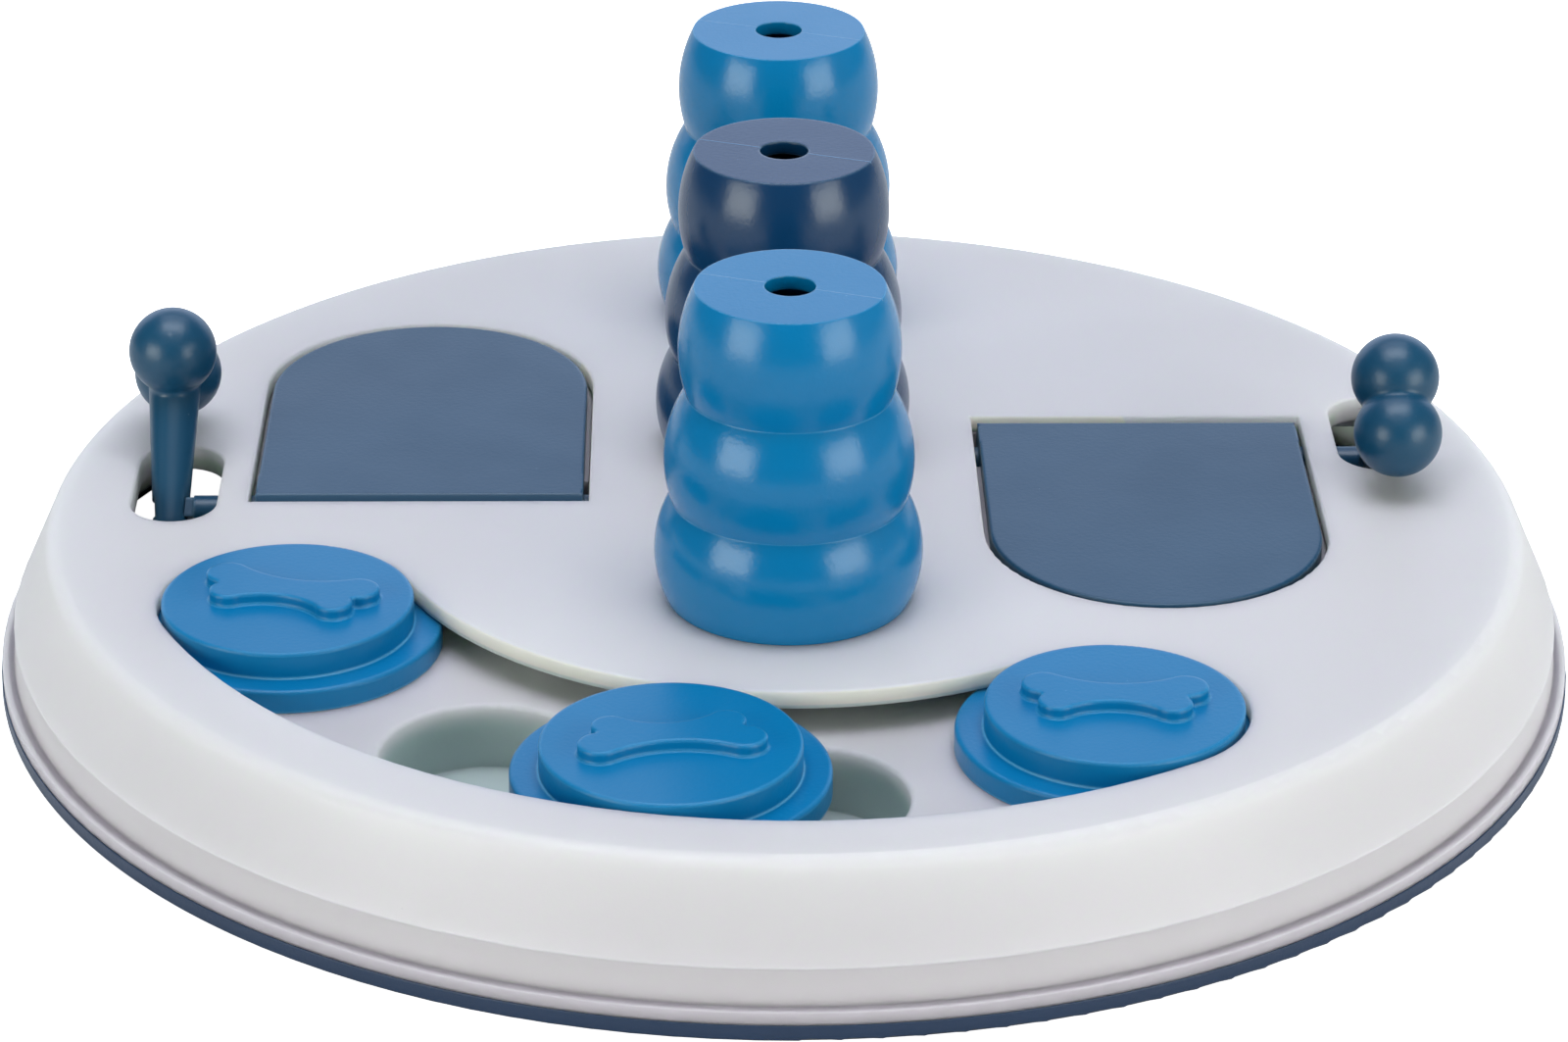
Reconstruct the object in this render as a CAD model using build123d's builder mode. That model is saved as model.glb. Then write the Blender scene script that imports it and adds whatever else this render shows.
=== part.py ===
"""Round puzzle feeder board for dogs, in millimetres.

A moulded top shell stands on a rubber ring. Three hollow cones lift off its flat top, three discs slide
along a curved track over four treat wells, and two lids flip up when their bone levers are pulled over.
The origin is the centre of the foot, Z is up, and Y runs along the row of cones.
"""

import os
from math import cos, hypot, isclose, radians, sin, sqrt, tan

from build123d import *

# Fits
running_fit = 0.08  # radial play of a hinge pin in its bearing
seat_gap = 0.05  # a loose piece over the face that it stands on
mating_gap = 0.2  # between moulded parts that fit into each other

# Shell
board_radius = 115.0  # of the lip at its foot
board_height = 22.5
shell_wall = 2.6
plate_thickness = 2.6
shoulder_width = 7.7  # from the lip in to the flat top's edge, before that edge is rounded
top_round = 2.5
lip_height = 1.9
lip_width = 1.7  # from the lip in to the steep band above it
band_height = 4.9
band_lean = 1.1
slope_overhang = 0.8  # of the slope's foot over the band's top
slope_foot_rise = 0.4
mouth_round = 0.35  # rounded edge of every opening in the flat top

# Rubber ring under the shell
ring_thickness = 2.4
ring_overhang = 0.2
ring_width = 3.0
ring_tongue_width = 1.2  # in a groove under the shell's wall
ring_tongue_height = 1.4
ring_tongue_inset = 1.3  # tongue to the ring's outside
ring_foot_round = 0.6

# Cones
back_cone_margin = 33.0  # cone axis to the edge of the flat top
front_cone_margin = 31.35  # cone axis to the inner edge of the slide track
cone_height = 46.9
cone_base_radius = 17.4
cone_bulges = ((19.0, 6.0), (17.6, 22.4), (15.6, 38.2))  # widest radius of each ring, and its height
cone_waists = ((16.7, 15.1), (14.6, 31.1))  # the grooves between the rings
cone_top_radius = 13.35
cone_hole_radius = 3.6
cone_wall = 2.0
cone_base_wall = 1.9
cone_inner_draft = 4.9  # degrees
dish_radius = 12.5  # shallow treat dish under each cone
dish_depth = 3.0
dish_wall = 2.0

# Slide track, deck and treat wells
track_margin = 29.15  # centre line of the track to the edge of the flat top
track_shift = 0.5  # centre of the track's curve, to the right of the board's
track_start = -156.2  # degrees round the board
track_end = -56.1
flange_headroom = 0.4  # a disc's flange to the plate over it
well_count = 4
well_radius = 14.5
well_draft = 4.0
well_floor = 6.8
well_round = 0.6
tray_wall = 2.0

# Sliding discs
knob_radius = 17.8
knob_height = 7.2  # flange underside to the top face
knob_round = 0.4
knob_wall = 2.2
knob_gap = 0.5  # to the edges of the track
flange_width = 3.95
flange_thickness = 3.3
flange_round = 0.5
disc_angles = {"left": -155.8, "centre": -102.6, "right": -56.35}
disc_turns = {"left": -16.0, "centre": 186.0, "right": -3.5}
bone_lengths = (25.6, 21.0)  # of its far side and its near one
bone_lobe_radii = (3.1, 2.7)
bone_width = 10.9
bone_waist = 5.4
bone_neck_angle = 115.0  # where the shaft leaves a lobe, in degrees
bone_relief = 1.75
bone_round = 0.4
bone_crease = 0.4
bone_foot_round = 0.3

# Lids; those of the left one, and the right one is the same turned half round about half_turn_y
half_turn_y = 17.0
lid_radius = 25.05  # of the opening's round end, and half its width
lid_front = 2.0
lid_arc_y = 42.95
lid_gap = 0.9
lid_recess = 0.05
lid_thickness = 2.6
lid_round = 0.4
lid_rest = 0.1  # lid over the ledge that it closes on

# Hinge of a lid and its lever
hinge_drop = 4.6  # axis below the flat top
pin_radius = 2.2
hinge_setback = 6.6  # axis behind the front of the lid's opening
roll_gap = 2.6  # front of that opening to the hinge edge of the lid's flat top
roll_wall = 1.8  # of the rounded lip that runs down from that edge
roll_sweep = 60.0  # degrees
roll_relief = 0.35  # lip to the trough's front wall, which it swings past
web_radius = 5.2  # at each end of the lip
web_thickness = 2.4
bearing_length = 2.6
bearing_width = 9.0
bearing_play = 0.35  # along the pin, between the lid opening and the slot's skirt
inner_pin_length = 4.6

# Lever slots
slot_margin = 17.5  # middle of a slot to the edge of the flat top
slot_y = 8.43
slot_width = 12.6
slot_length = 26.35
skirt_wall = 1.6
skirt_depth = 1.2

# Bone levers
lever_shifts = {"left": 1.25, "right": 0.65}  # from the middle of its slot, outwards
lever_lean = 45.0  # degrees from upright with the lid closed
lever_reach = 23.7  # hinge axis to the middle of the bone end
ball_radius = 6.5
ball_offset = 4.4
stem_radius = 2.7  # at the hinge axis
stem_top_radius = 4.1
stem_tail = 3.4  # past the axis
stem_tail_round = 1.2
shoulder_gap = 0.25  # pin's shoulder to the stem
key_width = 3.0
key_length = 5.2
crease_round = 0.8  # between the two balls
stem_round = 0.8  # where the stem runs into them

# Tray, its screws and compartments
tray_margin = 2.3  # tray rim to the edge of the flat top
tray_plate = 2.2
bin_floor = 6.5
ledge_width = 2.0
roll_room = 0.8  # lip's end webs to the partition behind them
roll_depth = 1.2  # lip to the floor under it
window_front = 8.0  # clearance window round each lever slot
window_back = 40.0
window_margin = 0.7
boss_radius = 3.5
screw_radius = 1.25
screw_head_radius = 2.6
screw_head_height = 1.8
screw_bite = 3.6
rim_screw_inset = 5.0  # from the tray's rim
rim_screw_angles = (-170, -22, 49, 132)
inner_screw_inset = 9.7  # from the inner edge of the slide track
inner_screw_angles = (-131, -65)


def around(radius, angle, shift=0):
    """Place at a radius and an angle round the board, or round a centre to its right."""
    return (shift + radius * cos(radians(angle)), radius * sin(radians(angle)))


flat_radius = board_radius - shoulder_width
band_foot_radius = board_radius - lip_width
band_top_radius = band_foot_radius - band_lean
slope_foot_radius = band_top_radius + slope_overhang
ring_radius = board_radius + ring_overhang
ring_tongue_outer = ring_radius - ring_tongue_inset
tray_radius = flat_radius - tray_margin
plate_underside = board_height - plate_thickness
deck_height = plate_underside - flange_headroom - flange_thickness - seat_gap
track_radius = flat_radius - track_margin
track_width = 2 * (knob_radius + knob_gap)
track_inner_radius = track_radius - track_width / 2
back_cone_y = flat_radius - back_cone_margin
front_cone_y = front_cone_margin - track_inner_radius
slot_x = slot_margin - flat_radius
skirt_edge = slot_x + slot_width / 2 + skirt_wall
lid_outer_x = skirt_edge + bearing_length + bearing_play
lid_x = lid_outer_x + lid_radius
lid_inner_x = lid_x + lid_radius
hinge_y = lid_front + hinge_setback
hinge_z = board_height - hinge_drop
lid_top = board_height - lid_recess
lid_edge = (hinge_setback - roll_gap, lid_top - hinge_z)  # hinge edge of the flat top, from the axis
roll_radius = hypot(*lid_edge)
lid_underside = lid_top - lid_thickness
ledge_top = lid_underside - lid_rest
partition_y = hinge_y + web_radius + roll_room
trough_front = hinge_y - roll_radius - roll_relief
trough_floor = hinge_z - roll_radius - roll_depth
both_sides = (Location((0, 0, 0)), Location((0, 2 * half_turn_y, 0), (0, 0, 180)))
homes = {
    "left": Plane.XY,
    "right": Plane(origin=(0, 2 * half_turn_y, 0), x_dir=(-1, 0, 0), z_dir=(0, 0, 1)),
}
cone_places = {
    "front": front_cone_y,
    "middle": (front_cone_y + back_cone_y) / 2,
    "back": back_cone_y,
}
well_pitch = (track_end - track_start) / (well_count - 1)
well_places = [around(track_radius, track_start + well_pitch * n, track_shift) for n in range(well_count)]
bearing_offset = bearing_length / 2 + mating_gap
bearing_spots = (lid_outer_x - bearing_offset, lid_inner_x + bearing_offset)
shoulder_x = slot_x - min(lever_shifts.values()) + stem_radius + shoulder_gap
groove_radius = pin_radius + running_fit
groove_reach = bearing_spots[0] - skirt_edge + skirt_wall + mating_gap  # from a bearing into its slot
screw_places = [
    (0, (cone_places["middle"] + back_cone_y) / 2),
    *[around(track_inner_radius - inner_screw_inset, angle) for angle in inner_screw_angles],
    *[around(tray_radius - rim_screw_inset, angle) for angle in rim_screw_angles],
]


def lid_arch(grow):
    """Round-ended outline of the left lid opening, grown by a margin."""
    side = lid_arc_y - lid_front + grow
    with Locations((lid_x, lid_arc_y - side / 2)):
        Rectangle(2 * (lid_radius + grow), side)
    with Locations((lid_x, lid_arc_y)):
        Circle(lid_radius + grow)


def lever_slot(grow):
    """Outline of the left lever slot, grown by a margin."""
    with Locations((slot_x, slot_y)):
        SlotOverall(slot_length + 2 * grow, slot_width + 2 * grow, rotation=90)


def write(name, part):
    part.label = name
    export_step(part, f"parts/{name}.step")


def make_shell():
    wall_foot = ring_thickness
    lip_top = wall_foot + lip_height
    band_top = lip_top + band_height
    slope_foot = band_top + slope_foot_rise
    with BuildPart() as shell:
        with BuildSketch(Plane.XZ):
            with BuildLine():
                Polyline(
                    (0, board_height),
                    (flat_radius, board_height),
                    (slope_foot_radius, slope_foot),
                    (band_top_radius, band_top),
                    (band_foot_radius, lip_top),
                    (board_radius, lip_top),
                    (board_radius, wall_foot),
                    (band_foot_radius - shell_wall, wall_foot),
                    (slope_foot_radius - shell_wall, slope_foot),
                    (flat_radius - shell_wall, plate_underside),
                    (0, plate_underside),
                    close=True,
                )
            make_face()
        revolve(axis=Axis.Z)
        rim = shell.edges().filter_by(GeomType.CIRCLE).group_by(Axis.Z)[-1]
        fillet(rim, top_round)

        # groove that the ring's tongue is glued into
        with BuildSketch(Plane.XY.offset(wall_foot)):
            Circle(ring_tongue_outer + mating_gap)
            Circle(ring_tongue_outer - ring_tongue_width - mating_gap, mode=Mode.SUBTRACT)
        extrude(amount=ring_tongue_height + mating_gap, mode=Mode.SUBTRACT)

        # treat dishes under the cones, pressed down into the plate
        for y in cone_places.values():
            with BuildSketch(Plane.XY.offset(plate_underside)):
                with Locations((0, y)):
                    Circle(dish_radius + dish_wall)
            extrude(amount=board_height - dish_depth - dish_wall - plate_underside)
            with BuildSketch(Plane.XY.offset(board_height)):
                with Locations((0, y)):
                    Circle(dish_radius)
            extrude(amount=-dish_depth, mode=Mode.SUBTRACT)

        # skirts round the lever slots
        with BuildSketch(Plane.XY.offset(plate_underside)):
            with Locations(*both_sides):
                lever_slot(skirt_wall)
        extrude(amount=-skirt_depth)

        # openings for the discs, the lids and the levers
        with BuildSketch(Plane.XY.offset(board_height)):
            SlotArc(track_line(), track_width)
            with Locations(*both_sides):
                lid_arch(0)
                lever_slot(0)
        extrude(amount=-(plate_thickness + skirt_depth), mode=Mode.SUBTRACT)
        flat = shell.faces().sort_by(Axis.Z)[-1]
        fillet([edge for mouth in flat.inner_wires() for edge in mouth.edges()], mouth_round)

        # bearing grooves that the hinge pins lie in
        with Locations(*both_sides):
            for x in bearing_spots:
                with Locations((x, hinge_y, hinge_z)):
                    Cylinder(groove_radius, 2 * groove_reach, rotation=(0, 90, 0), mode=Mode.SUBTRACT)
                    Box(
                        2 * groove_reach,
                        2 * groove_radius,
                        hinge_drop,
                        align=(Align.CENTER, Align.CENTER, Align.MAX),
                        mode=Mode.SUBTRACT,
                    )

        # screw bosses that the tray is drawn up against
        with BuildSketch(Plane.XY.offset(deck_height)):
            with Locations(*screw_places):
                Circle(boss_radius)
        extrude(until=Until.NEXT)
        with BuildSketch(Plane.XY.offset(deck_height)):
            with Locations(*screw_places):
                Circle(screw_radius)
        extrude(amount=screw_bite, mode=Mode.SUBTRACT)
    return shell.part


def track_line():
    """Centre line of the slide track."""
    with BuildLine(mode=Mode.PRIVATE) as line:
        CenterArc((track_shift, 0), track_radius, track_start, track_end - track_start)
    return line.edge()


def make_tray():
    plate_foot = deck_height - tray_plate
    window_edge = slot_x + slot_width / 2 + window_margin
    window_length = window_front + slot_length + window_back
    with BuildPart() as tray:
        with BuildSketch(Plane.XY.offset(plate_foot)):
            Circle(tray_radius)
        extrude(amount=tray_plate)

        # windows that leave the lever slots open to the table
        with BuildSketch(Plane.XY.offset(plate_foot)):
            with Locations(*both_sides):
                with Locations((window_edge, slot_y - slot_length / 2 - window_front)):
                    Rectangle(tray_radius, window_length, align=(Align.MAX, Align.MIN))
        extrude(amount=tray_plate, mode=Mode.SUBTRACT)

        # compartments under the lids: walls up to the ledge, a floor, a partition and the hinge trough
        with BuildSketch(Plane.XY.offset(bin_floor - tray_wall)):
            with Locations(*both_sides):
                lid_arch(-mating_gap)
                hinge_block(lid_radius - mating_gap, trough_front - tray_wall / 2)
        extrude(amount=ledge_top - bin_floor + tray_wall)
        with BuildSketch(Plane.XY.offset(bin_floor)):
            with Locations(*both_sides):
                bin_room()
        extrude(amount=board_height - bin_floor, mode=Mode.SUBTRACT)
        with BuildSketch(Plane.XY.offset(trough_floor)):
            with Locations(*both_sides):
                hinge_block(lid_radius, trough_front)
        extrude(amount=board_height - trough_floor, mode=Mode.SUBTRACT)

        # treat wells
        for place in well_places:
            with BuildSketch(Plane.XY.offset(deck_height)):
                with Locations(place):
                    Circle(well_radius + tray_wall)
            extrude(amount=-(deck_height - well_floor + tray_wall), taper=well_draft)
        for place in well_places:
            with BuildSketch(Plane.XY.offset(deck_height)):
                with Locations(place):
                    Circle(well_radius)
            extrude(amount=-(deck_height - well_floor), taper=well_draft, mode=Mode.SUBTRACT)
        circles = tray.edges().filter_by(GeomType.CIRCLE)
        mouths = circles.filter_by(lambda edge: isclose(edge.radius, well_radius, abs_tol=1e-6))
        fillet(mouths, well_round)

        # cradles under the hinge pins
        cradle_top = plate_underside
        with Locations(*both_sides):
            for x in bearing_spots:
                with Locations((x, hinge_y, plate_foot)):
                    Box(
                        bearing_length,
                        bearing_width,
                        cradle_top - plate_foot,
                        align=(Align.CENTER, Align.CENTER, Align.MIN),
                    )
        with Locations(*both_sides):
            for x in bearing_spots:
                with Locations((x, hinge_y, hinge_z)):
                    Cylinder(groove_radius, 2 * groove_reach, rotation=(0, 90, 0), mode=Mode.SUBTRACT)
                    Box(
                        bearing_length,
                        2 * groove_radius,
                        hinge_drop,
                        align=(Align.CENTER, Align.CENTER, Align.MIN),
                        mode=Mode.SUBTRACT,
                    )

        # screw holes
        with Locations(*[(x, y, plate_foot) for x, y in screw_places]):
            Cylinder(
                screw_radius + mating_gap,
                tray_plate,
                align=(Align.CENTER, Align.CENTER, Align.MIN),
                mode=Mode.SUBTRACT,
            )
    return tray.part


def bin_room():
    """Inside of the left compartment, behind its partition."""
    inner = lid_radius - mating_gap - ledge_width
    front = partition_y + tray_wall
    with Locations((lid_x, (front + lid_arc_y) / 2)):
        Rectangle(2 * inner, lid_arc_y - front)
    with Locations((lid_x, lid_arc_y)):
        Circle(inner)


def hinge_block(reach, front):
    """Rectangle under the left lid's hinge, from a front line back to the partition."""
    with Locations((lid_x, (front + partition_y) / 2)):
        Rectangle(2 * reach, partition_y - front)


def make_ring():
    with BuildPart() as ring:
        with BuildSketch(Plane.XZ):
            with Locations((ring_radius, 0)):
                Rectangle(ring_width, ring_thickness, align=(Align.MAX, Align.MIN))
            with Locations((ring_tongue_outer, ring_thickness)):
                Rectangle(ring_tongue_width, ring_tongue_height, align=(Align.MAX, Align.MIN))
        revolve(axis=Axis.Z)
        foot = ring.edges().filter_by(GeomType.CIRCLE).group_by(Axis.Z)[0]
        fillet(foot, ring_foot_round)
    return ring.part


def make_screws():
    head_z = deck_height - tray_plate
    with BuildPart() as screws:
        with Locations(*[(x, y, head_z) for x, y in screw_places]):
            Cylinder(screw_head_radius, screw_head_height, align=(Align.CENTER, Align.CENTER, Align.MAX))
            Cylinder(screw_radius, tray_plate + screw_bite, align=(Align.CENTER, Align.CENTER, Align.MIN))
    return screws.part


def make_cone(y):
    foot = board_height + seat_gap
    upright = Plane(origin=(0, y, foot), x_dir=(1, 0, 0), z_dir=(0, -1, 0))
    inner_radius = cone_base_radius - cone_base_wall
    inner_height = cone_height - cone_wall
    inner_top = inner_radius - inner_height * tan(radians(cone_inner_draft))
    edges = ((cone_base_radius, 0), *cone_waists, (cone_top_radius, cone_height))
    with BuildPart() as cone:
        with BuildSketch(upright):
            with BuildLine():
                for start, bulge, end in zip(edges, cone_bulges, edges[1:]):
                    ThreePointArc(start, bulge, end)
                Polyline(
                    edges[-1],
                    (cone_hole_radius, cone_height),
                    (cone_hole_radius, inner_height),
                    (inner_top, inner_height),
                    (inner_radius, 0),
                    edges[0],
                )
            make_face()
        revolve(axis=Axis((0, y, foot), (0, 0, 1)))
    return cone.part


def bone_outline():
    """Bone figure about the sketch's origin, along X: a waisted shaft between pairs of unequal lobes."""
    shafts = []
    lobes = []
    with BuildLine() as outline:
        for side, length, radius in zip((1, -1), bone_lengths, bone_lobe_radii):
            lobe = Vector(length / 2 - radius, bone_width / 2 - radius)
            neck = lobe + Vector(radius, 0).rotate(Axis.Z, bone_neck_angle)
            waist = (0, side * bone_waist / 2)
            shafts.append(ThreePointArc((-neck.X, side * neck.Y), waist, (neck.X, side * neck.Y)))
            lobes.append((lobe.X, side * lobe.Y, radius))
        for end in (0, 1):
            mirror = 2 * end - 1
            Polyline(shafts[0] @ end, *[(mirror * x, y) for x, y, _ in lobes], shafts[1] @ end)
    make_face(outline.edges())
    for x, y, radius in lobes:
        with Locations((x, y), (-x, y)):
            Circle(radius)


def make_slider(angle, turn):
    x, y = around(track_radius, angle, track_shift)
    flange_radius = knob_radius + flange_width
    heading = (cos(radians(turn)), sin(radians(turn)), 0)
    foot = Plane(origin=(x, y, deck_height + seat_gap), x_dir=heading, z_dir=(0, 0, 1))
    with BuildPart() as slider:
        with BuildSketch(foot):
            Circle(flange_radius)
        extrude(amount=flange_thickness)
        fillet(slider.edges().group_by(Axis.Z)[-1], flange_round)
        with BuildSketch(foot):
            Circle(knob_radius)
        extrude(amount=knob_height)
        fillet(slider.edges().group_by(Axis.Z)[-1], knob_round)
        with BuildSketch(foot):
            Circle(knob_radius - knob_wall)
        extrude(amount=knob_height - knob_wall, mode=Mode.SUBTRACT)
        with BuildSketch(foot.offset(knob_height)) as figure:
            bone_outline()
            fillet(figure.vertices(), bone_crease)
        extrude(amount=bone_relief)
        fillet(slider.edges(Select.LAST).group_by(Axis.Z)[0], bone_foot_round)
        fillet(slider.edges().group_by(Axis.Z)[-1], bone_round)
    return slider.part


def make_lid(home):
    """A lid in its closed place: plate, rounded lip with end webs, and the pins it turns on."""
    side = lid_radius - lid_gap
    outer_side = home.from_local_coords((lid_x - side, 0, 0))
    across = Plane(origin=outer_side, x_dir=home.y_dir, z_dir=home.x_dir)
    setback, rise = lid_edge
    with BuildPart() as lid:
        with BuildSketch(home.offset(lid_underside)):
            lid_arch(-lid_gap)
            with Locations((lid_x, hinge_y - setback)):
                cut_away(2 * lid_radius, Align.MAX)
        extrude(amount=lid_thickness)
        rim = lid.edges().group_by(Axis.Z)[-1]
        fillet(rim.sort_by(Axis(home.origin, home.y_dir))[1:], lid_round)

        # lip along the hinge edge, curved about the axis, with a web at each end
        with BuildSketch(across):
            roll_sector(180 - degrees_of(rise, setback))
            with Locations((hinge_y, hinge_z)):
                Circle(roll_radius - roll_wall, mode=Mode.SUBTRACT)
        extrude(amount=2 * side)
        for start_x in (0, 2 * side - web_thickness):
            with BuildSketch(across.offset(start_x)):
                with Locations((hinge_y, hinge_z)):
                    Circle(web_radius)
                with Locations((hinge_y, lid_top)):
                    cut_away(2 * web_radius, Align.MIN)
            extrude(amount=web_thickness)

        # pins: the inner one ends in its bearing, the outer one carries the lever on a square key
        pin_reach = lid_x - side - shoulder_x
        with BuildSketch(across):
            with Locations((hinge_y, hinge_z)):
                Circle(pin_radius)
        extrude(amount=-pin_reach)
        with BuildSketch(across.offset(-pin_reach)):
            with Locations((hinge_y, hinge_z)):
                Rectangle(key_width, key_width, rotation=-lever_lean)
        extrude(amount=-key_length)
        with BuildSketch(across.offset(2 * side)):
            with Locations((hinge_y, hinge_z)):
                Circle(pin_radius)
        extrude(amount=inner_pin_length)
    return lid.part


def cut_away(size, side):
    """Trims a sketch on one side of a line along X: above it with Align.MIN, below it with Align.MAX."""
    Rectangle(size, size, align=(Align.CENTER, side), mode=Mode.SUBTRACT)


def degrees_of(rise, run):
    """Angle of a slope, in degrees."""
    return Vector(run, rise).get_angle(Vector(1, 0))


def roll_sector(start):
    """Pie slice of the rounded lip, from an angle round the front of the hinge axis."""
    centre = (hinge_y, hinge_z)
    with BuildLine() as slice_edge:
        arc = CenterArc(centre, roll_radius, start, roll_sweep)
        Line(arc @ 1, centre)
        Line(centre, arc @ 0)
    make_face(slice_edge.edges())


def make_lever(home, shift):
    """A lever in its place with the lid closed: bone end, and a tapered stem with a square hole for the key."""
    lean = radians(lever_lean)
    stem_dir = home.y_dir * sin(lean) + Vector(0, 0, cos(lean))
    axis_point = Vector(home.from_local_coords((slot_x - shift, hinge_y, hinge_z)))
    stem_plane = Plane(origin=axis_point, x_dir=home.x_dir, z_dir=home.x_dir.cross(stem_dir))
    bone_middle = axis_point + stem_dir * lever_reach
    bone_plane = Plane(origin=bone_middle, x_dir=stem_dir.cross(home.x_dir), z_dir=home.x_dir)
    key_plane = Plane(origin=axis_point, x_dir=home.y_dir, z_dir=home.x_dir)
    taper = (stem_top_radius - stem_radius) / lever_reach
    bone_end = ball_offset + ball_radius
    waist = sqrt(ball_radius**2 - ball_offset**2)
    with BuildPart() as lever:
        with BuildSketch(bone_plane) as half:
            with BuildLine():
                ThreePointArc((-bone_end, 0), (-ball_offset, ball_radius), (0, waist))
                ThreePointArc((0, waist), (ball_offset, ball_radius), (bone_end, 0))
                Line((bone_end, 0), (-bone_end, 0))
            make_face()
            fillet(half.vertices().sort_by(Axis.Y)[-1], crease_round)
        revolve(axis=Axis(bone_middle, bone_plane.x_dir))
        with BuildSketch(stem_plane) as stem_half:
            with BuildLine():
                Polyline(
                    (0, -stem_tail),
                    (stem_radius - taper * stem_tail, -stem_tail),
                    (stem_top_radius, lever_reach),
                    (0, lever_reach),
                    close=True,
                )
            make_face()
            fillet(stem_half.vertices().group_by(Axis.Y)[0].sort_by(Axis.X)[-1], stem_tail_round)
        revolve(axis=Axis(axis_point, stem_dir))
        fillet(lever.edges(Select.LAST).filter_by(GeomType.BSPLINE), stem_round)
        with BuildSketch(key_plane):
            Rectangle(key_width, key_width, rotation=-lever_lean)
        extrude(amount=stem_top_radius, both=True, mode=Mode.SUBTRACT)
    return lever.part


os.makedirs("parts", exist_ok=True)
write("upper_shell", make_shell())
write("lower_tray", make_tray())
write("grip_ring", make_ring())
write("tray_screws", make_screws())
for spot, y in cone_places.items():
    write(f"{spot}_cone", make_cone(y))
for spot, angle in disc_angles.items():
    write(f"{spot}_slider", make_slider(angle, disc_turns[spot]))
for side, home in homes.items():
    write(f"{side}_lid", make_lid(home))
    write(f"{side}_lever", make_lever(home, lever_shifts[side]))
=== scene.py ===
import math

import bpy
from mathutils import Matrix, Vector

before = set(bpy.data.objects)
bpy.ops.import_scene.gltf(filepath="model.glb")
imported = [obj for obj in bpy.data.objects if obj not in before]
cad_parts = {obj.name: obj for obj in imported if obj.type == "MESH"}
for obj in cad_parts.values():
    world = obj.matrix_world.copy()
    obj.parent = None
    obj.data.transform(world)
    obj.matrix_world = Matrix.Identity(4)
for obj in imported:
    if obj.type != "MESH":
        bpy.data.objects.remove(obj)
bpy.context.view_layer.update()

scene = bpy.context.scene

# camera: where it looks, from how far, and its lens
cameraValues = {
    "target": (-0.00012, 0.0, 0.020),
    "distance": 0.7824,
    "azimuth": -1.093,  # degrees round the board, from the track's side
    "elevation": 25.334,
    "roll": 0.351,
    "lens": 122.07,
    "sensorWidth": 36.0,
    "clip": (0.01, 20.0),
}


def addCamera(values):
    turn = Matrix.Rotation(math.radians(values["azimuth"]), 4, "Z")
    tilt = Matrix.Rotation(math.radians(90 - values["elevation"]), 4, "X")
    roll = Matrix.Rotation(math.radians(values["roll"]), 4, "Z")
    pose = turn @ tilt @ roll
    back = pose.to_3x3() @ Vector((0, 0, 1))
    place = Vector(values["target"]) + back * values["distance"]
    data = bpy.data.cameras.new("boardCamera")
    data.lens = values["lens"]
    data.sensor_width = values["sensorWidth"]
    data.clip_start, data.clip_end = values["clip"]
    camera = bpy.data.objects.new("boardCamera", data)
    scene.collection.objects.link(camera)
    camera.matrix_world = Matrix.Translation(place) @ pose
    scene.camera = camera


addCamera(cameraValues)
print("camera placed")


# what the materials are wired from
def rgb(*channels):  # a colour as a screen shows it, 0 to 255
    linear = [((c / 255 + 0.055) / 1.055) ** 2.4 if c > 10 else c / 255 / 12.92 for c in channels]
    return (*linear, 1.0)


def feed(tree, socket, value):  # a link from another node, or a plain number or colour
    if isinstance(value, bpy.types.NodeSocket):
        tree.links.new(value, socket)
    else:
        socket.default_value = value


def addNode(tree, kind, inputs, **settings):
    node = tree.nodes.new("ShaderNode" + kind)
    for name, value in settings.items():
        setattr(node, name, value)
    for socket, value in inputs.items():
        feed(tree, node.inputs[socket], value)
    return node


def addPlace(tree):
    return addNode(tree, "TexCoord", {}).outputs["Object"]


def addAxes(tree, place):
    return addNode(tree, "SeparateXYZ", {0: place}).outputs


def addNoise(tree, place, scale, detail):
    inputs = {"Vector": place, "Scale": scale, "Detail": detail}
    return addNode(tree, "TexNoise", inputs).outputs["Fac"]


def addRange(tree, source, span, levels):  # runs softly from one level to the other over a span
    inputs = {
        "Value": source,
        "From Min": span[0], "From Max": span[1],
        "To Min": levels[0], "To Max": levels[1],
    }
    return addNode(tree, "MapRange", inputs, interpolation_type="SMOOTHSTEP").outputs["Result"]


def addMath(tree, operation, *numbers):
    return addNode(tree, "Math", dict(enumerate(numbers)), operation=operation).outputs[0]


def addMix(tree, amount, first, second):
    return addNode(tree, "MixRGB", {0: amount, 1: first, 2: second}).outputs["Color"]


def addBump(tree, under, height, strength, depth):
    inputs = {"Normal": under, "Height": height, "Strength": strength, "Distance": depth}
    return addNode(tree, "Bump", inputs).outputs["Normal"]


def newMaterial(name):
    material = bpy.data.materials.new(name)
    material.use_nodes = True
    tree = material.node_tree
    tree.nodes.clear()
    shader = addNode(tree, "BsdfPrincipled", {})
    addNode(tree, "OutputMaterial", {"Surface": shader.outputs["BSDF"]})
    return material, tree, shader


# every finish: two clouded tones, small specks, a painted highlight along its edges and a fine grain
finishValues = {
    "cloudDetail": 3,
    "cloudSpan": (0.3, 0.7),  # over which the clouds take the roughness from one end to the other
    "speckDetail": 2,
    "speckFade": 0.02,
    "grainDetail": 4,
    "edgeSamples": 6,
    # the span below is where the painted edge highlight fades in
    "edgeHighlightSpan": (0.86, 0.99),  # 1 is flat, less is turned further over an edge
}


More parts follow.
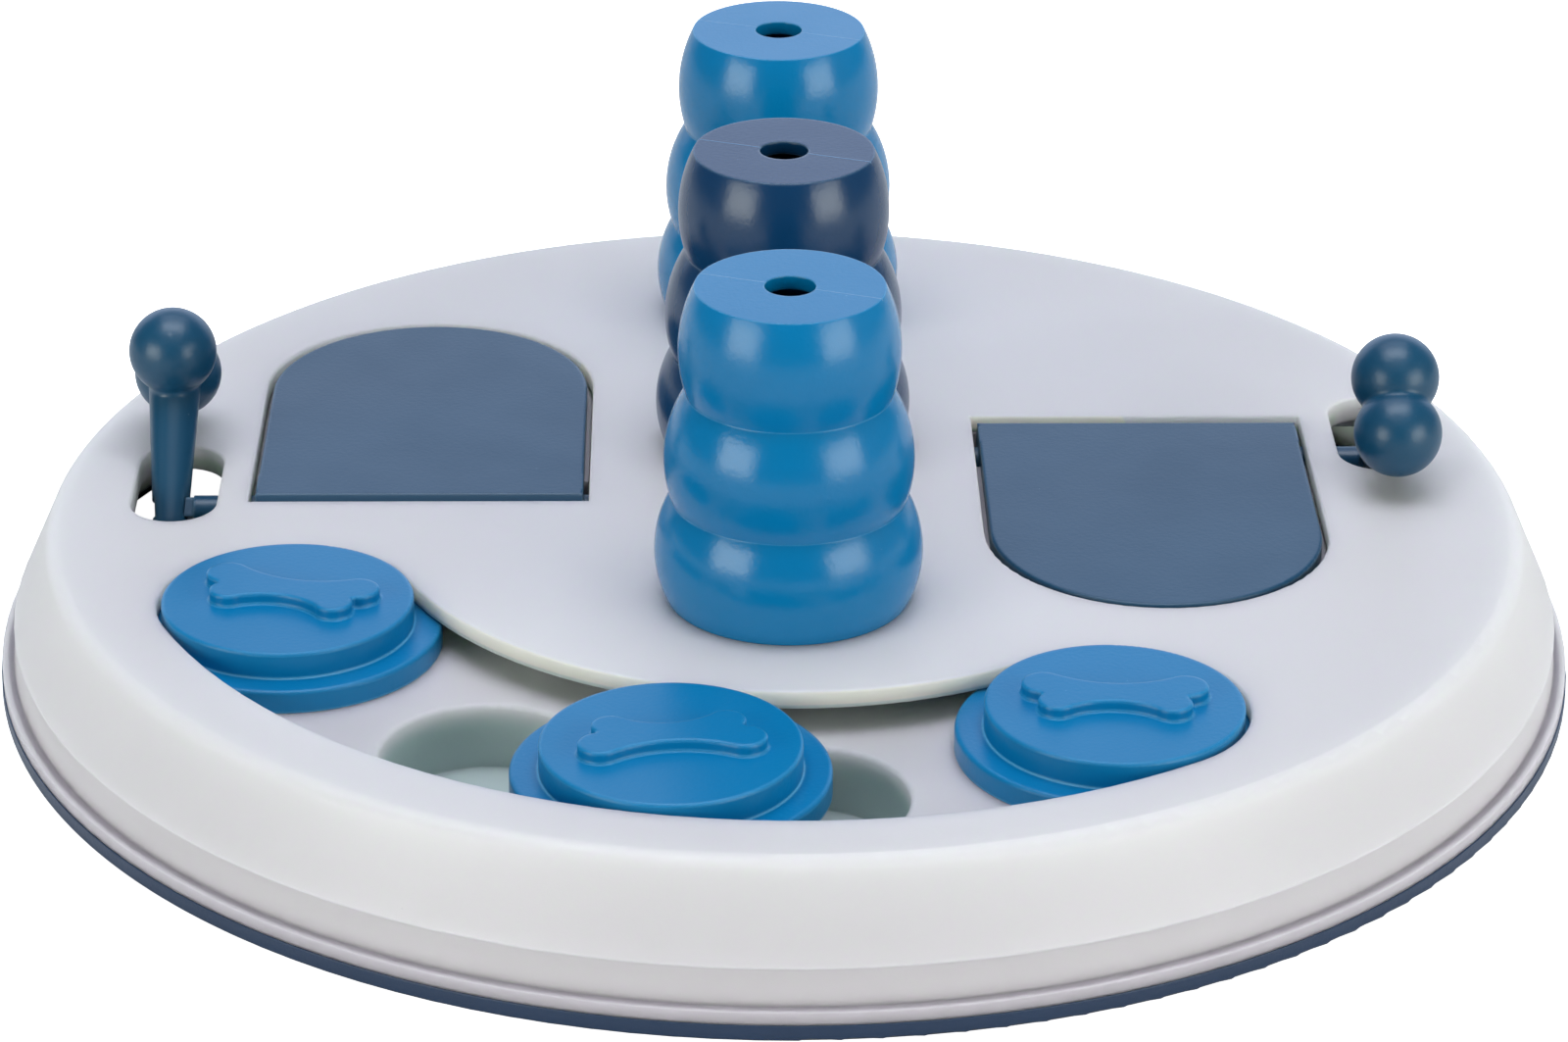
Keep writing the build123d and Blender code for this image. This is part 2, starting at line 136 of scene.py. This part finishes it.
def addFinish(name, values):
    material, tree, shader = newMaterial(name)
    place = addPlace(tree)
    cloud = addNoise(tree, place, values["cloudScale"], finishValues["cloudDetail"])
    speck = addNoise(tree, place, values["speckScale"], finishValues["speckDetail"])
    grain = addNoise(tree, place, values["grainScale"], finishValues["grainDetail"])
    colour = addMix(tree, cloud, rgb(*values["colour"]), rgb(*values["deepColour"]))
    speckSpan = (values["speckLevel"], values["speckLevel"] + finishValues["speckFade"])
    dust = addRange(tree, speck, speckSpan, (0.0, values["speckAmount"]))
    colour = addMix(tree, dust, colour, rgb(*values["speckColour"]))
    edge = addNode(tree, "Bevel", {"Radius": values["edgeRound"]}, samples=finishValues["edgeSamples"])
    face = addNode(tree, "NewGeometry", {})
    normals = {0: edge.outputs["Normal"], 1: face.outputs["Normal"]}
    flat = addNode(tree, "VectorMath", normals, operation="DOT_PRODUCT").outputs["Value"]
    # painted highlight: a paler colour laid where the shading turns over an edge, for light caught on the
    # rounded edges
    paintedEdgeHighlight = addRange(tree, flat, finishValues["edgeHighlightSpan"], (values["edgeHighlightAmount"], 0.0))
    colour = addMix(tree, paintedEdgeHighlight, colour, rgb(*values["edgeHighlightColour"]))
    feed(tree, shader.inputs["Base Color"], colour)
    rough = addRange(tree, cloud, finishValues["cloudSpan"], values["roughness"])
    feed(tree, shader.inputs["Roughness"], rough)
    bump = addBump(tree, edge.outputs["Normal"], grain, values["grainStrength"], values["grainDepth"])
    feed(tree, shader.inputs["Normal"], bump)
    shader.inputs["IOR"].default_value = values["ior"]
    return material, tree, shader


def addTint(tree, shader, amount, colour):  # lays a colour over what the shader shows
    base = shader.inputs["Base Color"]
    plain = base.links[0].from_socket
    feed(tree, base, addMix(tree, amount, plain, rgb(*colour)))


# shell and tray: a satin pale plastic that light creeps through
palePlasticValues = {
    "colour": (225, 222, 223), "deepColour": (222, 219, 220), "cloudScale": 30,
    "speckScale": 900, "speckLevel": 0.80, "speckAmount": 0.3, "speckColour": (190, 192, 200),
    "grainScale": 2600, "grainStrength": 0.25, "grainDepth": 0.00004,
    "edgeRound": 0.0005, "edgeHighlightColour": (240, 241, 240), "edgeHighlightAmount": 0.6,
    "roughness": (0.42, 0.50), "ior": 1.45,
}
glowValues = {"weight": 0.9, "reach": (0.0075, 0.0088, 0.0073), "scale": 1.0}


def addPalePlastic(name, values):
    material, tree, shader = addFinish(name, values)
    shader.inputs["Subsurface Weight"].default_value = glowValues["weight"]
    shader.inputs["Subsurface Radius"].default_value = glowValues["reach"]
    shader.inputs["Subsurface Scale"].default_value = glowValues["scale"]
    return material, tree, shader


# painted shade: inside its rim, the shell's underside and the walls of its openings are tinted darker and
# greener, for the olive shade there
greenShadeValues = {
    "heights": (0.0199, 0.0214),
    "distances": (0.094, 0.096),  # from the middle of the foot, so a little over the radius
    "colour": (196, 210, 196),
}
# and a painted cream lit band on the plate's edge along the inner side of the track
creamLitBandValues = {
    "foot": (0.0202, 0.0206),
    "face": (0.0222, 0.0225),
    "distances": (0.0648, 0.0653),
    "colour": (238, 231, 214),
}


def shellPlastic():
    material, tree, shader = addPalePlastic("shellPlastic", palePlasticValues)
    place = addPlace(tree)
    height = addAxes(tree, place)["Z"]
    distance = addNode(tree, "VectorMath", {0: place}, operation="LENGTH").outputs["Value"]
    under = addRange(tree, height, greenShadeValues["heights"], (1.0, 0.0))
    inside = addRange(tree, distance, greenShadeValues["distances"], (1.0, 0.0))
    # painted shade: the green tint over the underside and the opening walls
    addTint(tree, shader, addMath(tree, "MULTIPLY", under, inside), greenShadeValues["colour"])
    # painted light: the cream lit band on the plate's inner edge wall
    above = addRange(tree, height, creamLitBandValues["foot"], (0.0, 1.0))
    below = addRange(tree, height, creamLitBandValues["face"], (1.0, 0.0))
    near = addRange(tree, distance, creamLitBandValues["distances"], (1.0, 0.0))
    edge = addMath(tree, "MULTIPLY", addMath(tree, "MULTIPLY", above, below), near)
    addTint(tree, shader, edge, creamLitBandValues["colour"])
    return material


# painted shade: the tray's wells get darker and greener with their depth
trayValues = dict(palePlasticValues, colour=(218, 214, 216), deepColour=(215, 211, 213))
wellShadeValues = {"heights": (0.0125, 0.0156), "colour": (190, 208, 203)}


def trayPlastic():
    material, tree, shader = addPalePlastic("trayPlastic", trayValues)
    height = addAxes(tree, addPlace(tree))["Z"]
    # painted shade laid over the wells below the deck
    addTint(tree, shader, addRange(tree, height, wellShadeValues["heights"], (1.0, 0.0)), wellShadeValues["colour"])
    return material


# discs and lids
discValues = {
    "colour": (0, 121, 177), "deepColour": (0, 116, 171), "cloudScale": 60,
    "speckScale": 1100, "speckLevel": 0.79, "speckAmount": 0.5, "speckColour": (120, 180, 220),
    "grainScale": 1500, "grainStrength": 0.6, "grainDepth": 0.00005,
    "edgeRound": 0.0007, "edgeHighlightColour": (110, 200, 248), "edgeHighlightAmount": 0.9,
    "roughness": (0.28, 0.34), "ior": 1.40,
}
lidValues = {
    "colour": (12, 68, 99), "deepColour": (8, 62, 92), "cloudScale": 60,
    "speckScale": 1100, "speckLevel": 0.79, "speckAmount": 0.4, "speckColour": (110, 130, 150),
    "grainScale": 1500, "grainStrength": 0.5, "grainDepth": 0.00005,
    "edgeRound": 0.0006, "edgeHighlightColour": (96, 130, 156), "edgeHighlightAmount": 0.6,
    "roughness": (0.29, 0.35), "ior": 1.50,
}
# levers, a little lighter than the lids
leverValues = dict(
    lidValues, colour=(20, 75, 106), deepColour=(15, 69, 99), roughness=(0.31, 0.37))

# cones, glossier, with a fine parting line over each top that runs through its hole
blueConeValues = dict(
    discValues, roughness=(0.19, 0.24), ior=1.45, edgeRound=0.0004, edgeHighlightAmount=0.35)
navyConeValues = dict(
    lidValues, colour=(10, 58, 97), deepColour=(7, 52, 90), roughness=(0.21, 0.26))
partingValues = {
    "firstCone": -0.0285,  # Y of the front cone's middle
    "pitch": 0.0514,  # from one cone to the next
    "angle": -20,
    "width": 0.00016,
    "heights": (0.0690, 0.0693),
    "colour": (120, 178, 222), "amount": 0.55,
    "strength": 0.6, "depth": 0.0001,
}


def conePlastic(name, values):
    material, tree, shader = addFinish(name, values)
    axes = addAxes(tree, addPlace(tree))
    half = partingValues["pitch"] / 2
    angle = math.radians(partingValues["angle"])
    along = addMath(tree, "SUBTRACT", axes["Y"], partingValues["firstCone"])
    along = addMath(tree, "WRAP", along, half, -half)  # from the middle of the nearest cone
    off = addMath(
        tree, "SUBTRACT",
        addMath(tree, "MULTIPLY", along, math.cos(angle)),
        addMath(tree, "MULTIPLY", axes["X"], math.sin(angle)),
    )
    line = addRange(tree, addMath(tree, "ABSOLUTE", off), (0.0, partingValues["width"]), (1.0, 0.0))
    top = addRange(tree, axes["Z"], partingValues["heights"], (0.0, 1.0))
    line = addMath(tree, "MULTIPLY", line, top)
    addTint(tree, shader, addMath(tree, "MULTIPLY", line, partingValues["amount"]), partingValues["colour"])
    normal = shader.inputs["Normal"]
    grain = normal.links[0].from_socket
    feed(tree, normal, addBump(tree, grain, line, partingValues["strength"], partingValues["depth"]))
    return material


# foot ring and screws
rubberValues = {
    "colour": (14, 46, 80), "deepColour": (10, 40, 72), "cloudScale": 80,
    "speckScale": 1400, "speckLevel": 0.77, "speckAmount": 0.3, "speckColour": (90, 110, 130),
    "grainScale": 1500, "grainStrength": 0.4, "grainDepth": 0.00008,
    "edgeRound": 0.0003, "edgeHighlightColour": (80, 104, 130), "edgeHighlightAmount": 0.3,
    "roughness": (0.30, 0.40), "ior": 1.52,
}
steelValues = {
    "colour": (188, 190, 194), "deepColour": (168, 170, 175), "cloudScale": 500,
    "speckScale": 2000, "speckLevel": 0.75, "speckAmount": 0.3, "speckColour": (120, 120, 122),
    "grainScale": 4000, "grainStrength": 0.3, "grainDepth": 0.00002,
    "edgeRound": 0.0002, "edgeHighlightColour": (205, 206, 208), "edgeHighlightAmount": 0.3,
    "roughness": (0.28, 0.40), "ior": 1.5,
}


def screwSteel():
    material, tree, shader = addFinish("screwSteel", steelValues)
    shader.inputs["Metallic"].default_value = 1.0
    return material


def dress(material, *names):
    for name in names:
        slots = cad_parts[name].data.materials
        slots.clear()
        slots.append(material)


dress(shellPlastic(), "upper_shell")
dress(trayPlastic(), "lower_tray")
dress(addFinish("ringRubber", rubberValues)[0], "grip_ring")
dress(screwSteel(), "tray_screws")
dress(conePlastic("blueConePlastic", blueConeValues), "front_cone", "back_cone")
dress(conePlastic("navyConePlastic", navyConeValues), "middle_cone")
dress(addFinish("bluePlastic", discValues)[0], "left_slider", "centre_slider", "right_slider")
dress(addFinish("navyPlastic", lidValues)[0], "left_lid", "right_lid")
dress(addFinish("leverPlastic", leverValues)[0], "left_lever", "right_lever")
print("finishes made")

# softboxes, all aimed at the board; shine says whether glossy pieces mirror it
softboxAim = (0.0, 0.0, 0.02)
softboxValues = {
    "overhead": {
        "place": (0.0, 0.0, 1.6), "size": (1.4, 0.8),
        "power": 17.2, "colour": (0.86, 0.91, 1.0), "shine": True,
    },
    "back": {
        "place": (0.0, 0.8, 1.4), "size": (1.4, 0.8),
        "power": 5.2, "colour": (0.8, 0.83, 1.0), "shine": True,
    },
    "frontTop": {
        "place": (0.0, -0.8, 1.4), "size": (1.4, 0.8),
        "power": 2.0, "colour": (1.0, 1.0, 0.97), "shine": True,
    },
    "left": {
        "place": (-1.17, -0.94, 0.38), "size": (0.95, 0.70),
        "power": 10.6, "colour": (0.98, 1.0, 0.93), "shine": True,
    },
    "right": {
        "place": (1.17, -0.94, 0.38), "size": (0.95, 0.70),
        "power": 10.0, "colour": (0.98, 1.0, 0.94), "shine": True,
    },
    "rightSide": {
        "place": (1.6, 0.1, 0.45), "size": (1.2, 0.8),
        "power": 4.6, "colour": (1.0, 1.0, 0.93), "shine": False,
    },
}


def addSoftbox(name, values):
    data = bpy.data.lights.new(name, "AREA")
    data.shape = "RECTANGLE"
    data.size, data.size_y = values["size"]
    data.energy = values["power"]
    data.color = values["colour"]
    lamp = bpy.data.objects.new(name, data)
    scene.collection.objects.link(lamp)
    lamp.location = values["place"]
    lamp.visible_glossy = values["shine"]
    lamp.rotation_mode = "QUATERNION"
    lamp.rotation_quaternion = (Vector(softboxAim) - lamp.location).to_track_quat("-Z", "Y")


for name, values in softboxValues.items():
    addSoftbox(name + "Softbox", values)
print("softboxes placed")

# the room: white to the camera, dim on the board, and light behind it for the glossy pieces
roomValues = {
    "white": 1.0,
    "ambient": 0.06, "ambientColour": (0.65, 1.0, 0.72, 1.0),
    "glossColour": (0.84, 0.97, 1.26, 1.0),
    "frontGloss": 0.12,  # in front of the board and beside it
    "lowGloss": 1.25,  # behind it, low over the table
    "middleGloss": 0.9,  # a little higher
    "highGloss": 0.2,  # and high up
    "backSpan": (0.58, 0.82),  # of a direction's Y, from the front's level to the back's
    "middleSpan": (0.36, 0.46),  # of its Z, from low to middle
    "highSpan": (0.50, 0.64),  # and from middle to high
}


def addRoom(values):
    room = bpy.data.worlds.new("studio")
    scene.world = room
    room.use_nodes = True
    tree = room.node_tree
    tree.nodes.clear()
    ray = addNode(tree, "LightPath", {}).outputs
    heading = addAxes(tree, addNode(tree, "TexCoord", {}).outputs["Generated"])
    low, middle, high = values["lowGloss"], values["middleGloss"], values["highGloss"]
    behind = addMath(
        tree, "ADD",
        addRange(tree, heading["Z"], values["middleSpan"], (low, middle)),
        addRange(tree, heading["Z"], values["highSpan"], (0.0, high - middle)),
    )
    gloss = addRange(tree, heading["Y"], values["backSpan"], (values["frontGloss"], behind))
    mirrored = addNode(tree, "Background", {"Color": values["glossColour"], "Strength": gloss})
    ambient = addNode(
        tree, "Background", {"Color": values["ambientColour"], "Strength": values["ambient"]})
    seen = addNode(tree, "Background", {"Strength": values["white"]})
    lit = addNode(
        tree, "MixShader", {0: ray["Is Glossy Ray"], 1: ambient.outputs[0], 2: mirrored.outputs[0]})
    direct = addMath(tree, "MAXIMUM", ray["Is Camera Ray"], ray["Is Transmission Ray"])
    shown = addNode(tree, "MixShader", {0: direct, 1: lit.outputs[0], 2: seen.outputs[0]})
    addNode(tree, "OutputWorld", {"Surface": shown.outputs[0]})


addRoom(roomValues)
print("room lit")

# floor: a large sheet of pale paper that is white to the camera
floorValues = {"size": 12.0, "colour": (236, 236, 238), "roughness": 0.9, "white": (1, 1, 1, 1)}


def addFloor(values):
    bpy.ops.mesh.primitive_plane_add(size=values["size"], location=(0, 0, 0))
    floor = bpy.context.object
    floor.name = "studioFloor"
    material, tree, shader = newMaterial("floorPaper")
    shader.inputs["Base Color"].default_value = rgb(*values["colour"])
    shader.inputs["Roughness"].default_value = values["roughness"]
    shader.inputs["Specular IOR Level"].default_value = 0.0
    shader.inputs["Emission Color"].default_value = values["white"]
    ray = addNode(tree, "LightPath", {}).outputs
    feed(tree, shader.inputs["Emission Strength"], ray["Is Camera Ray"])
    floor.data.materials.append(material)
    return floor


floor = addFloor(floorValues)
print("floor laid")

scene.view_settings.view_transform = "Standard"
